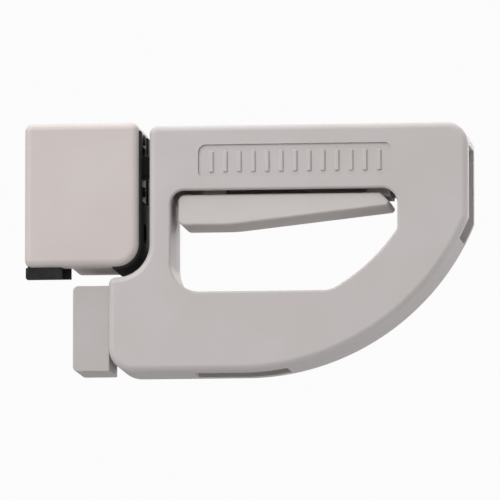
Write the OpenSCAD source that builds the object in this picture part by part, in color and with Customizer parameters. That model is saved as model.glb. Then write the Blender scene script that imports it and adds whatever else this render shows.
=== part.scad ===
// Stair gate latch: a catch fixed to an upright rail and a gate's corner handle with a squeeze
// trigger, a spring bolt and a lift of a few millimetres.
// Frame: X towards the gate, Y into the thickness (front faces -Y), Z up. The origin is the middle
// of the catch's mounting face, on the rail's gate side.

/* [Rail and catch] */
// Width of the square rail that the catch is fixed to
rail_w = 16; // [12:0.5:20]
// Width of the catch, from the rail's gate side
catch_w = 27.5; // [24:0.5:36]
// Height of the catch
catch_h = 55; // [45:1:70]
// Radius of the catch's lower gate-side corner
catch_corner_r = 8.7; // [4:0.1:12]
// Radius of the small corners of catch and handle
small_r = 3; // [1:0.1:4]
// Thickness of the pad between the cover's flange and the rail
pad_t = 1; // [0.5:0.1:2]
// Thickness of the pad's lip under the cover's flange
pad_lip_t = 4; // [1:0.1:5]
// Radius of the two mounting screw holes
mount_hole_r = 2.3; // [1.5:0.1:3]
// Radius of the recess for a mounting screw's head
mount_head_r = 4; // [3:0.1:5]
// Length of a mounting hole's wall
mount_wall = 14; // [8:0.5:16]

/* [Strike] */
// Thickness of the strike plate
strike_t = 1.5; // [1:0.1:2.5]
// Width of the strike plate's rim beside its slot
strike_rim = 3; // [2:0.1:3.4]
// Play of the bolt in the strike, on each side
strike_play = 0.5; // [0.3:0.05:1]
// Depth of the buffer strip's groove
strip_sink = 1.2; // [0.6:0.1:2]
// Height that the buffer strip stands proud
strip_proud = 0.6; // [0.3:0.1:1]

/* [Handle outline] */
// Depth of catch and handle from front to back
depth = 32; // [26:0.5:40]
// Gap between the catch and the handle
swing_gap = 4; // [3:0.1:6]
// Length of the handle's top edge
handle_w = 121.2; // [100:0.5:160]
// Drop from the catch's top to the handle's top
top_drop = 1.5; // [0:0.1:3]
// Reach of the handle's foot under the catch
foot_reach = 11.5; // [10:0.5:16]
// Height of the handle's foot below the notch for the catch
foot_h = 36.2; // [32:0.5:48]
// Radius of the foot's lower corner
foot_r = 9.5; // [4:0.5:14]
// Radius of the handle's upper gate-side corner
top_r = 8; // [4:0.5:14]
// Radius of the big sweep from the bottom to the gate side
sweep_r = 94; // [88:1:120]
// Distance of the sweep's centre from the gate side
sweep_reach = 86.7; // [70:0.5:87]
// Wall thickness of the two shells
wall = 2.5; // [2:0.1:3]

/* [Finger opening] */
// Height of the top bar
top_bar_h = 24.75; // [23:0.25:30]
// Height of the bottom bar
bottom_bar_h = 30.3; // [26:0.5:40]
// Width of the left bar
left_bar_w = 8.2; // [7:0.1:14]
// Width of the right bar at the opening's upper corner
right_bar_w = 26.7; // [26:0.1:36]
// Width of the band under the sweep
sweep_band = 21.6; // [16:0.2:26]
// Radius of the opening's upper left corner
open_tl_r = 5; // [2:0.5:8]
// Radius of the opening's upper right corner
open_tr_r = 6; // [2:0.5:8]
// Radius of the opening's lower left corner
open_bl_r = 11; // [4:0.5:14]
// Radius of the opening's lower right corner
open_br_r = 10; // [4:0.5:14]

/* [Gate rail and slat] */
// Height of the gate's top rail
gate_rail_h = 35; // [28:0.5:40]
// Thickness of the gate's top rail
gate_rail_t = 19; // [15:0.5:20]
// Depth of the socket for the gate's top rail
gate_rail_in = 22.5; // [15:0.5:23]
// Drop from the handle's top to the middle of the gate's top rail
gate_rail_drop = 26; // [24:0.5:30]
// Width of the gate's first slat
slat_w = 35; // [25:0.5:40]
// Thickness of the gate's first slat
slat_t = 15; // [10:0.5:20]
// Depth of the socket for the slat
slat_in = 15; // [10:0.5:18]
// Distance from the handle's foot to the middle of the slat
slat_inset = 49.6; // [45:0.1:60]
// Play around the wood in its sockets
wood_play = 0.25; // [0.1:0.05:0.5]
// Radius of the holes for the wood screws
wood_hole_r = 2; // [1.5:0.1:2.5]
// Distance between the two wood screws of a socket
wood_pitch = 18; // [12:0.5:24]

/* [Bolt] */
// Width of the bolt, front to back
bolt_w = 10; // [8:0.5:12]
// Height of the bolt
bolt_h = 8; // [6:0.5:10]
// Drop from the handle's top to the bolt's axis
bolt_drop = 14; // [13:0.5:16]
// Length of bolt inside the catch at rest
engagement = 6; // [4:0.5:8]
// Room between the retracted bolt and the catch
tip_clearance = 0.45; // [0.3:0.05:1]
// Distance from the handle's edge to the cross pin
pin_inset = 17.5; // [16:0.5:24]
// Length of bolt behind the cross pin
bolt_tail = 13; // [10:0.5:18]
// Radius of the bolt's stem
stem_r = 2.2; // [1.8:0.1:3]
// Length of the bolt spring at rest
spring_len = 21.2; // [18:0.2:26]
// Radius of the spring's wire
spring_wire_r = 0.25; // [0.2:0.05:0.6]
// Number of coils of the spring
spring_coils = 10; // [5:1:12]
// Radius of the cross pin
pin_r = 2; // [1.5:0.1:2.5]

/* [Trigger] */
// Distance from the opening's right end to the pivot
pivot_inset = 7; // [6:0.5:10]
// Height of the pivot above the opening
pivot_rise = 5.75; // [5.5:0.25:7]
// Radius of the pivot pin
pivot_r = 2; // [1.5:0.1:2.5]
// Wall of a pivot bush
bush_t = 1.1; // [0.8:0.1:1.5]
// Height of the trigger's grip
grip_h = 11.7; // [8:0.1:13]
// Gap above the trigger's grip
grip_gap = 1.4; // [1:0.05:5]
// Gap at the trigger's left end
grip_end_gap = 2.6; // [2.5:0.1:5]
// Length of the grip's level part
grip_level = 20; // [15:1:50]
// Height of the grip's end face at its tip
grip_tip_h = 4.8; // [3:0.1:6]
// Downward slope of the cam slots
cam_deg = 44; // [38:1:50]

/* [Lift] */
// Height that the gate lifts
lift = 3; // [2:0.1:3]

/* [Panel] */
// Depth of the blank panel in the top bar's front
panel_d = 0.7; // [0.4:0.1:1]
// Height of the blank panel
panel_h = 13; // [10:0.5:16]
// Number of ridges on the panel
panel_ridges = 13; // [5:2:19]

/* [Hidden] */
$fn = 96;

// Fits
running = 0.08;       // radial play of a shaft that turns or slides
fixed_play = 0.03;    // radial play of a pin held in a hole
slide_play = 0.25;    // play of the bolt in its windows
side_play = 0.5;      // play between pieces that pass each other
plate_play = 0.15;    // gap between the strike plate and the buffer strip round it
touch = 0.02;         // overlap of cutters past a face

// Screws: shaft and head radii, head height
screw_r = 1.5;
screw_head_r = 3;
screw_head_h = 2.2;
small_screw_r = 1.25;
small_head_r = 2.4;
small_head_h = 1.8;
strike_head_r = 2;
strike_head_h = 0.8;
screw_play = 0.1;
boss_r = 3.6;
pad_boss_r = 3;

// Depth planes
half = depth / 2;
hollow = half - wall;
flange_back = -rail_w / 2 - pad_t;
edge_half = half - 2;

// Catch
catch_top = catch_h / 2;
flange_left = -rail_w - 0.2;
cover_screw_x = 7;
cover_screw_z = catch_top - 5.5;
cover_screw_tip = flange_back - 4.5;
pad_tuck = 1;
pad_lip_right = -2;
strip_top = catch_top - small_r;

// Handle outline
handle_top = catch_top - top_drop;
handle_left = catch_w + swing_gap;
handle_right = handle_left + handle_w;
notch_z = -catch_top - swing_gap;
notch_r = catch_corner_r + swing_gap;
handle_bottom = notch_z - foot_h;
foot_left = catch_w - foot_reach;
sweep_x = handle_right - sweep_reach;
sweep_z = handle_bottom + sweep_r;

// Finger opening
open_left = handle_left + left_bar_w;
open_right = handle_right - right_bar_w;
open_top = handle_top - top_bar_h;
open_bottom = handle_bottom + bottom_bar_h;
open_r = sweep_r - sweep_band;
open_br_x = sweep_x + sqrt(pow(open_r - open_br_r, 2) - pow(sweep_z - open_bottom - open_br_r, 2));
open_br_z = open_bottom + open_br_r;

// Sockets for the gate's wood
gate_rail_z = handle_top - gate_rail_drop;
gate_rail_x = handle_right - gate_rail_in;
gate_rail_half_h = gate_rail_h / 2 + wood_play;
gate_rail_half_t = gate_rail_t / 2 + wood_play;
slat_x = foot_left + slat_inset;
slat_half_w = slat_w / 2 + wood_play;
slat_half_t = slat_t / 2 + wood_play;
slat_z = handle_bottom + slat_in;
rail_hole_x = (gate_rail_x + handle_right) / 2;
slat_hole_z = handle_bottom + slat_in / 2;

// Bolt and strike
bolt_z = handle_top - bolt_drop;
tip_x = catch_w - engagement;
bolt_travel = engagement + tip_clearance;
pin_x = handle_left + pin_inset;
shoulder_x = pin_x + bolt_tail;
washer_t = 0.8;
washer_r = 4.6;
guide_wall_x = shoulder_x + spring_len + washer_t;
guide_wall_t = 4;
clip_gap = 0.3;
stop_clip_t = 0.8;
stem_end = guide_wall_x + guide_wall_t + clip_gap + stop_clip_t + 1.9;
spring_r = stem_r + spring_wire_r + 0.65;
strike_half_w = bolt_w / 2 + strike_play;
strike_low = bolt_z - bolt_h / 2 - strike_play;
strike_high = bolt_z + bolt_h / 2 + lift + strike_play;
mount_z = (strike_low + strike_high) / 2;
plate_low = strike_low - 9;
plate_high = strike_high + 5;
plate_half_w = strike_half_w + strike_rim;
plate_screws = [strike_low - 5, strike_high + 2.9];

// Trigger and its cam
cheek_t = 3;
cheek_in = bolt_w / 2 + side_play;
cheek_out = cheek_in + cheek_t;
pin_clip_t = 0.6;
pin_half = cheek_out + clip_gap + pin_clip_t + 0.4;
slot_r = pin_r + 0.3;
cam_wall = 2;
pivot_x = open_right - pivot_inset;
pivot_z = open_top + pivot_rise;
bush_r = pivot_r + running + bush_t;
pivot_boss_r = bush_r + 2;
pivot_boss_half = hollow - 4.5;
socket_r = 4.2;
cam_reach = pivot_x - pin_x;
cam_rise = bolt_z - pivot_z;
cam_left = cam_reach - bolt_travel;
cam_level = cam_reach * sin(cam_deg) - cam_rise * cos(cam_deg);
squeeze_deg = atan2(cam_rise, cam_left) + asin(cam_level / norm([cam_left, cam_rise])) - cam_deg;
cam_len = (cam_reach * sin(squeeze_deg) - cam_rise * (1 - cos(squeeze_deg))) / sin(cam_deg + squeeze_deg);
grip_left = open_left + grip_end_gap;
grip_top = open_top - grip_gap;
grip_bottom = grip_top - grip_h;
grip_tip_x = open_right - 2;
grip_tip_z = grip_top - grip_tip_h;
grip_half = hollow - 0.6;
slot_left = grip_left - 2;
slot_right = pivot_x + pivot_boss_r + side_play;
slot_low = open_top - max(open_tl_r, open_tr_r);

// Bolt guide
guide_x = handle_left + wall + 0.2;
guide_block_w = 7.1;
guide_low = open_top + wall + 0.45;
guide_high = handle_top - wall - 0.8;
guide_half = hollow - 3.5;
guide_wall_half = max(guide_half - 3, bolt_w / 2 + 0.2);
spine_low = bolt_z + bolt_h / 2 + 0.6;
spine_h = 3;
guide_screw_z = guide_high - 2.9;
guide_screw_x = [guide_x + guide_block_w / 2, guide_wall_x + guide_wall_t / 2];

// Guide block at the handle's foot
block_left = 2;
block_drop = 2.9;
block_half = half - 4;
block_bottom = handle_bottom + 0.7;
block_screw_y = 6;
block_screw_low = handle_bottom + foot_r + small_head_r + 0.3;
block_screw_z = [block_screw_low, block_screw_low + 10.8];

// Shell screws
shell_screw_tip = -hollow + 3.5;
shell_screw_seat = half - 2.8;
shell_screw_at = [
    [foot_left + 9, min(open_bottom - 4.6, notch_z - wall - boss_r - 1)],
    [foot_left + 19, handle_bottom + 12.7],
    [slat_x + slat_half_w + 11.5, (open_bottom + handle_bottom) / 2 + 2.5],
    [sweep_x + (sweep_r - sweep_band / 2) * cos(50), sweep_z - (sweep_r - sweep_band / 2) * sin(50)],
    [gate_rail_x - wall - 5.2, handle_top - 7.7],
    [stem_end + bolt_travel + boss_r, handle_top - 6.5]
];

// Panel on the top bar
panel_x0 = open_left + 10.5;
panel_x1 = open_right - 2;
panel_z = (handle_top + open_top) / 2 - 1.6;
ridge_w = 1.6;
ridge_h = panel_h - 5;

// A slab between two depth planes, from an outline drawn in X and Z
module slab(y0, y1) {
    translate([0, y1, 0]) rotate([90, 0, 0]) linear_extrude(y1 - y0) children();
}

// A cylinder along Y
module rod_y(x, z, r, y0, y1) {
    translate([x, y1, z]) rotate([90, 0, 0]) cylinder(r = r, h = y1 - y0);
}

// A cylinder along X
module rod_x(y, z, r, x0, x1) {
    translate([x0, y, z]) rotate([0, 90, 0]) cylinder(r = r, h = x1 - x0);
}

// A box between two corners
module block(low, high) {
    translate(low) cube(high - low);
}

// What a round corner takes off: the corner's point, the direction into the shape and the radius
module corner_cut(x, z, sx, sz, r) {
    difference() {
        translate([sx > 0 ? x - 1 : x - r, sz > 0 ? z - 1 : z - r]) square(r + 1);
        translate([x + sx * r, z + sz * r]) circle(r);
    }
}

// A rectangle with its own radius at each corner: lower left, lower right, upper right, upper left
module rounded(low, high, r) {
    difference() {
        translate(low) square(high - low);
        if (r[0] > 0) corner_cut(low[0], low[1], 1, 1, r[0]);
        if (r[1] > 0) corner_cut(high[0], low[1], -1, 1, r[1]);
        if (r[2] > 0) corner_cut(high[0], high[1], -1, -1, r[2]);
        if (r[3] > 0) corner_cut(low[0], high[1], 1, -1, r[3]);
    }
}

// Outline of the catch from a left edge, grown by an offset
module catch_outline(left, grow, left_r) {
    rounded(
        [left - grow, -catch_top - grow],
        [catch_w + grow, catch_top + grow],
        [left_r, catch_corner_r + grow, small_r, left_r]
    );
}

// Section of the buffer strip and its groove, between two offsets of the catch's outline
module strip_band(outer) {
    intersection() {
        difference() {
            catch_outline(0, outer, 0);
            catch_outline(0, -strip_sink, 0);
        }
        translate([catch_w - catch_corner_r - 1.5, -catch_top - outer - 1])
            square([catch_corner_r + outer + 2.5, strip_top + catch_top + outer + 1]);
    }
}

// Outline of the handle, inset by a distance
module handle_outline(inset) {
    difference() {
        intersection() {
            rounded(
                [foot_left + inset, handle_bottom + inset],
                [handle_right - inset, handle_top - inset],
                [foot_r - inset, 0, top_r - inset, 0]
            );
            union() {
                translate([sweep_x, sweep_z]) circle(sweep_r - inset, $fn = 360);
                translate([foot_left - 1, handle_bottom - 1])
                    square([sweep_x - foot_left + 1, handle_top - handle_bottom + 2]);
            }
        }
        rounded(
            [foot_left - 1, notch_z - inset],
            [handle_left + inset, handle_top + 1],
            [0, notch_r + inset, 0, 0]
        );
        if (inset == 0) {
            corner_cut(foot_left, notch_z, 1, -1, 2);
            corner_cut(handle_left, handle_top, 1, -1, small_r);
        }
    }
}

// Outline of the finger opening, grown by a distance
module finger_opening(grow) {
    radius = open_br_r + grow;
    towards = [open_br_x - sweep_x, open_br_z - sweep_z] / norm([open_br_x - sweep_x, open_br_z - sweep_z]);
    difference() {
        intersection() {
            rounded(
                [open_left - grow, open_bottom - grow],
                [open_right + grow, open_top + grow],
                [open_bl_r + grow, 0, open_tr_r + grow, open_tl_r + grow]
            );
            translate([sweep_x, sweep_z]) circle(open_r + grow, $fn = 360);
        }
        difference() {
            translate([open_br_x, open_br_z])
                polygon([[0, 0], [0, -2 * radius], 2 * radius * towards]);
            translate([open_br_x, open_br_z]) circle(radius);
        }
    }
}

// Hollow of the shells: everything but the walls, the sockets' walls and the screw columns
module hollow_outline() {
    difference() {
        handle_outline(wall);
        finger_opening(wall);
        translate([gate_rail_x - wall, gate_rail_z - gate_rail_half_h - wall])
            square([gate_rail_in + wall, 2 * (gate_rail_half_h + wall)]);
        translate([slat_x - slat_half_w - wall, handle_bottom])
            square([2 * (slat_half_w + wall), slat_in + wall]);
        for (at = shell_screw_at) translate(at) circle(boss_r);
    }
}

// What both shells leave free: hollow, trigger slot, bolt window and the sockets for the wood
module shell_space(y0, y1) {
    slab(max(y0, -hollow), min(y1, hollow)) {
        hollow_outline();
        translate([slot_left, slot_low]) square([slot_right - slot_left, open_top + wall + touch - slot_low]);
        translate([pivot_x - pivot_boss_r - side_play, open_top - 1])
            square([slot_right - pivot_x + pivot_boss_r + side_play, pivot_rise + pivot_boss_r + 1 + side_play]);
    }
    block(
        [handle_left - 1, -bolt_w / 2 - slide_play, bolt_z - bolt_h / 2 - slide_play],
        [handle_left + wall + 1, bolt_w / 2 + slide_play, bolt_z + bolt_h / 2 + slide_play]
    );
    block(
        [gate_rail_x, -gate_rail_half_t, gate_rail_z - gate_rail_half_h],
        [handle_right + 1, gate_rail_half_t, gate_rail_z + gate_rail_half_h]
    );
    block(
        [slat_x - slat_half_w, -slat_half_t, handle_bottom - 1],
        [slat_x + slat_half_w, slat_half_t, slat_z]
    );
}

// A ring on the trigger's pivot, on the inner side of a shell
module pivot_socket(y0, y1) {
    rod_y(pivot_x, pivot_z, socket_r, y0, y1);
}

module catch_body() {
    color("#c4bcba") difference() {
        slab(flange_back, half) catch_outline(0, 0, 1);
        // rebate for the pad's edge
        block([-1, flange_back - 1, -catch_top - 1], [pad_tuck + 0.2, flange_back + pad_t, catch_top + 1]);
        // strike pocket, which also reaches the upper mounting screw
        block([mount_wall, -strike_half_w, strike_low], [catch_w + 1, strike_half_w, strike_high]);
        plate_seat(1);
        slab(-edge_half, edge_half) strip_band(1);
        for (z = [-mount_z, mount_z]) rod_x(0, z, mount_hole_r, -1, mount_wall + 1);
        rod_x(0, -mount_z, mount_head_r, mount_wall, catch_w + 1);
        for (z = plate_screws) rod_x(0, z, small_screw_r + fixed_play, catch_w - 11, catch_w + 1);
        for (z = [-cover_screw_z, cover_screw_z]) {
            rod_y(cover_screw_x, z, screw_r + screw_play, flange_back - 1, half + 1);
            rod_y(cover_screw_x, z, screw_head_r + screw_play, half - 2.8, half + 1);
        }
    }
}

module catch_cover() {
    color("#c9bfbd") difference() {
        slab(-half, flange_back) catch_outline(flange_left, 0, small_r);
        plate_seat(1);
        slab(-edge_half, half) strip_band(1);
        for (z = [-cover_screw_z, cover_screw_z])
            rod_y(cover_screw_x, z, screw_r + fixed_play, cover_screw_tip - 0.5, flange_back + 1);
    }
}

// The pad behind the flange, with a lip folded under the flange's lower end
module rail_pad() {
    left = flange_left + 0.4;
    color("#26262a") {
        block([left, flange_back, -catch_top - pad_lip_t], [pad_tuck, flange_back + pad_t, catch_top - 0.3]);
        block([left, -edge_half, -catch_top - pad_lip_t], [pad_lip_right, flange_back + touch, -catch_top]);
    }
}

// The strike plate's block, drawn past the catch's side by a distance
module plate_seat(past) {
    block([catch_w - strike_t, -plate_half_w, plate_low], [catch_w + past, plate_half_w, plate_high]);
}

module strike_plate() {
    color("#3a3b3e") difference() {
        plate_seat(0);
        block([catch_w - strike_t - 1, -strike_half_w, strike_low], [catch_w + 1, strike_half_w, strike_high]);
        for (z = plate_screws) rod_x(0, z, small_screw_r + screw_play, catch_w - strike_t - 1, catch_w + 1);
    }
}

module strike_screws() {
    color("#3a3b3e") for (z = plate_screws) {
        rod_x(0, z, small_screw_r, catch_w - 10, catch_w);
        difference() {
            rod_x(0, z, strike_head_r, catch_w, catch_w + strike_head_h);
            cross_slot_x(catch_w + strike_head_h, 0, z, strike_head_r);
        }
    }
}

// A cross recess in a head that faces +X
module cross_slot_x(x, y, z, r) {
    for (turn = [0, 90])
        translate([x - 0.4, y, z]) rotate([turn, 0, 0]) translate([0, -r * 0.6, -0.3]) cube([1, r * 1.2, 0.6]);
}

// A cross recess in a head that faces the direction of side along Y
module cross_slot_y(x, y, z, r, side) {
    for (turn = [0, 90])
        translate([x, y, z]) rotate([0, turn, 0]) translate([-r * 0.6, side > 0 ? -0.8 : -1, -0.35])
            cube([r * 1.2, 1.8, 0.7]);
}

// A pan-head screw along Y with its head towards +Y
module screw_y(x, z, seat, tip) {
    rod_y(x, z, screw_r, tip, seat);
    difference() {
        rod_y(x, z, screw_head_r, seat, seat + screw_head_h);
        cross_slot_y(x, seat + screw_head_h, z, screw_head_r, 1);
    }
}

module cover_screws() {
    color("#8d8d90") for (z = [-cover_screw_z, cover_screw_z])
        screw_y(cover_screw_x, z, half - 2.8, cover_screw_tip);
}

// The buffer strip, forked round the strike plate
module buffer_strip() {
    plate_half = plate_half_w + plate_play;
    color("#1f1f22") difference() {
        slab(-edge_half, edge_half) strip_band(strip_proud);
        block(
            [catch_w - strip_sink - 1, -plate_half, plate_low - plate_play],
            [catch_w + strip_proud + 1, plate_half, strip_top + 1]
        );
        rod_x(0, -mount_z, mount_head_r + screw_play, catch_w - strip_sink - 1, catch_w + strip_proud + 1);
    }
}

module handle_front() {
    color("#c2bebd") difference() {
        union() {
            difference() {
                slab(-half, 0) difference() {
                    handle_outline(0);
                    finger_opening(0);
                }
                shell_space(-half, 0);
            }
            pivot_socket(-hollow - touch, -pivot_boss_half - 0.4);
        }
        rod_y(pivot_x, pivot_z, pivot_r + fixed_play, -hollow - 1.3, 1);
        for (at = shell_screw_at)
            rod_y(at[0], at[1], screw_r + fixed_play, shell_screw_tip - 0.5, 1);
        panel_recess();
    }
}

// The shallow panel in the top bar's front, around its row of ridges
module panel_recess() {
    pitch = (panel_x1 - panel_x0 - 10) / (panel_ridges - 1);
    slab(-half - 1, -half + panel_d) difference() {
        rounded([panel_x0, panel_z - panel_h / 2], [panel_x1, panel_z + panel_h / 2], [3, 3, 3, 3]);
        for (i = [0 : panel_ridges - 1])
            translate([panel_x0 + 5 + i * pitch - ridge_w / 2, panel_z - ridge_h / 2]) square([ridge_w, ridge_h]);
    }
}

module handle_rear() {
    color("#bcb8b7") difference() {
        union() {
            difference() {
                slab(0, half) difference() {
                    handle_outline(0);
                    finger_opening(0);
                }
                shell_space(0, half);
            }
            pivot_socket(pivot_boss_half + 0.4, hollow + touch);
            for (x = guide_screw_x) rod_y(x, guide_screw_z, pad_boss_r, guide_half, hollow + touch);
        }
        rod_y(pivot_x, pivot_z, pivot_r + fixed_play, -1, hollow + 1.3);
        for (at = shell_screw_at) {
            rod_y(at[0], at[1], screw_r + screw_play, -1, half + 1);
            rod_y(at[0], at[1], screw_head_r + screw_play, shell_screw_seat, half + 1);
        }
        for (x = guide_screw_x) rod_y(x, guide_screw_z, small_screw_r + fixed_play, guide_half - 1, half - 1);
        for (z = block_screw_z)
            rod_x(block_screw_y, z, small_screw_r + screw_play, foot_left - 1, foot_left + wall + 1);
        for (side = [-1, 1]) {
            rod_y(rail_hole_x, gate_rail_z + side * wood_pitch / 2, wood_hole_r, 0, half + 1);
            rod_y(slat_x + side * wood_pitch / 2, slat_hole_z, wood_hole_r, 0, half + 1);
        }
    }
}

module guide_block() {
    color("#b8b3b2") difference() {
        slab(-block_half, block_half)
            rounded([block_left, block_bottom], [foot_left, notch_z - block_drop], [2, 0, 0, 2]);
        for (z = block_screw_z) rod_x(block_screw_y, z, small_screw_r + fixed_play, block_left + 4, foot_left + 1);
    }
}

module block_screws() {
    seat = foot_left + wall;
    color("#8d8d90") for (z = block_screw_z) {
        rod_x(block_screw_y, z, small_screw_r, block_left + 5, seat);
        difference() {
            rod_x(block_screw_y, z, small_head_r, seat, seat + small_head_h);
            cross_slot_x(seat + small_head_h, block_screw_y, z, small_head_r);
        }
    }
}

module shell_screws() {
    color("#8d8d90") for (at = shell_screw_at)
        screw_y(at[0], at[1], shell_screw_seat, shell_screw_tip);
}

module bolt_guide() {
    wall_end = guide_wall_x + guide_wall_t;
    color("#3b4046") difference() {
        union() {
            block([guide_x, -guide_half, guide_low], [guide_x + guide_block_w, guide_half, guide_high]);
            block([guide_x, -bolt_w / 2, spine_low], [wall_end, bolt_w / 2, spine_low + spine_h]);
            block([guide_wall_x, -guide_wall_half, bolt_z - 5], [wall_end, guide_half, guide_high]);
        }
        block(
            [guide_x - 1, -bolt_w / 2 - slide_play, bolt_z - bolt_h / 2 - slide_play],
            [guide_x + guide_block_w + 1, bolt_w / 2 + slide_play, bolt_z + bolt_h / 2 + slide_play]
        );
        rod_x(0, bolt_z, stem_r + running, guide_wall_x - 1, wall_end + 1);
        rod_y(guide_screw_x[0], guide_screw_z, small_screw_r + screw_play, -guide_half - 1, guide_half + 1);
        rod_y(guide_screw_x[1], guide_screw_z, small_screw_r + screw_play, -guide_wall_half - 1, guide_half + 1);
    }
}

module guide_screws() {
    seats = [-guide_half, -guide_wall_half];
    color("#8d8d90") for (i = [0, 1]) {
        rod_y(guide_screw_x[i], guide_screw_z, small_screw_r, seats[i], half - 1.5);
        difference() {
            rod_y(guide_screw_x[i], guide_screw_z, small_head_r, seats[i] - small_head_h, seats[i]);
            cross_slot_y(guide_screw_x[i], seats[i] - small_head_h, guide_screw_z, small_head_r, -1);
        }
    }
}

// Side view of the grip: level to the left, tapering to its tip
module grip_outline() {
    difference() {
        polygon([
            [grip_left, grip_bottom], [grip_left + grip_level, grip_bottom], [grip_tip_x, grip_tip_z],
            [grip_tip_x - 5, grip_top], [grip_left, grip_top]
        ]);
        corner_cut(grip_left, grip_bottom, 1, 1, 2);
        corner_cut(grip_left, grip_top, 1, -1, 2);
    }
}

// A capsule along the cam slot
module cam_capsule(r) {
    translate([pin_x, bolt_z]) rotate(-cam_deg) {
        circle(r);
        translate([cam_len, 0]) circle(r);
        translate([0, -r]) square([cam_len, 2 * r]);
    }
}

// Side view of one cheek, up from the grip to the cam slot
module cheek_outline() {
    difference() {
        union() {
            cam_capsule(slot_r + cam_wall);
            translate([pin_x + 2, grip_top - 1]) square([9, bolt_z - grip_top - 1]);
        }
        cam_capsule(slot_r);
    }
}

module trigger() {
    color("#bdb8b7") difference() {
        union() {
            slab(-grip_half, grip_half) grip_outline();
            slab(-cheek_out, -cheek_in) cheek_outline();
            slab(cheek_in, cheek_out) cheek_outline();
            slab(-pivot_boss_half, pivot_boss_half) {
                translate([pivot_x, pivot_z]) circle(pivot_boss_r);
                translate([pivot_x - pivot_boss_r, grip_top - 1])
                    square([2 * pivot_boss_r - 1.5, pivot_z - grip_top + 1]);
            }
        }
        rod_y(pivot_x, pivot_z, bush_r + fixed_play, -grip_half - 1, grip_half + 1);
    }
}

module trigger_bushes() {
    color("#d8d2c0") for (side = [-1, 1]) difference() {
        rod_y(pivot_x, pivot_z, bush_r, side > 0 ? 1 : -pivot_boss_half, side > 0 ? pivot_boss_half : -1);
        rod_y(pivot_x, pivot_z, pivot_r + running, -half, half);
    }
}

module trigger_pin() {
    color("#a9aaad") rod_y(pivot_x, pivot_z, pivot_r, -hollow - 1, hollow + 1);
}

module bolt() {
    nose = 4;
    color("#3c3d40") difference() {
        union() {
            translate([0, 0, bolt_z - bolt_h / 2]) linear_extrude(bolt_h) polygon([
                [tip_x, -bolt_w / 4], [tip_x + nose, -bolt_w / 2], [shoulder_x, -bolt_w / 2],
                [shoulder_x, bolt_w / 2], [tip_x + nose, bolt_w / 2], [tip_x, bolt_w / 4]
            ]);
            rod_x(0, bolt_z, stem_r, shoulder_x - touch, stem_end);
        }
        rod_y(pin_x, bolt_z, pin_r + fixed_play, -bolt_w, bolt_w);
    }
}

module bolt_pin() {
    color("#a9aaad") rod_y(pin_x, bolt_z, pin_r, -pin_half, pin_half);
}

module pin_clips() {
    color("#55575a") for (side = [-1, 1])
        translate([pin_x, side * (cheek_out + clip_gap + pin_clip_t / 2), bolt_z]) rotate([90, 0, 0])
            difference() {
                cylinder(r = pin_r + 1.3, h = pin_clip_t, center = true);
                cylinder(r = pin_r + fixed_play, h = 2, center = true);
            }
}

module stop_clip() {
    at = guide_wall_x + guide_wall_t + clip_gap;
    color("#55575a") difference() {
        rod_x(0, bolt_z, stem_r + 1.8, at, at + stop_clip_t);
        rod_x(0, bolt_z, stem_r + fixed_play, at - 1, at + stop_clip_t + 1);
    }
}

// Points of one ring of wire, at a share of the spring's length
function coil_ring(share) =
    let (
        turn = 360 * spring_coils * share,
        run = spring_len - 2 * spring_wire_r - 0.1,
        x = shoulder_x + 0.05 + spring_wire_r + run * share
    )
    [for (i = [0 : 5])
        let (a = 60 * i, r = spring_r + spring_wire_r * cos(a))
        [x + spring_wire_r * sin(a), r * cos(turn), bolt_z + r * sin(turn)]];

module bolt_spring() {
    rings = spring_coils * 14;
    points = [for (k = [0 : rings]) each coil_ring(k / rings)];
    sides = [for (k = [0 : rings - 1], i = [0 : 5])
        let (a = 6 * k + i, b = 6 * k + (i + 1) % 6)
        [a, b, b + 6, a + 6]];
    first = [for (i = [0 : 5]) 5 - i];
    last = [for (i = [0 : 5]) 6 * rings + i];
    color("#9a9c9f") polyhedron(points, concat(sides, [first, last]), convexity = 10);
}

module spring_washer() {
    color("#a3a5a8") difference() {
        rod_x(0, bolt_z, washer_r, guide_wall_x - washer_t, guide_wall_x);
        rod_x(0, bolt_z, stem_r + screw_play, guide_wall_x - 2, guide_wall_x + 1);
    }
}

catch_body();
catch_cover();
rail_pad();
strike_plate();
strike_screws();
cover_screws();
buffer_strip();
handle_front();
handle_rear();
guide_block();
block_screws();
shell_screws();
bolt_guide();
guide_screws();
trigger();
trigger_bushes();
trigger_pin();
bolt();
bolt_pin();
pin_clips();
stop_clip();
bolt_spring();
spring_washer();
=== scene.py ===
"""Stair gate latch: the visual model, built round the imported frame.

The catch sits on an upright rail; the handle is the corner piece of the gate, with a finger opening,
a squeeze trigger and a spring bolt. All lengths are metres, in the frame of the CAD model: X towards
the gate, Y into the thickness with the front at -Y, Z up.
"""

import logging
import math
from contextlib import contextmanager
from dataclasses import dataclass
from enum import Enum
from typing import Callable, Iterable, Iterator, Sequence

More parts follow.
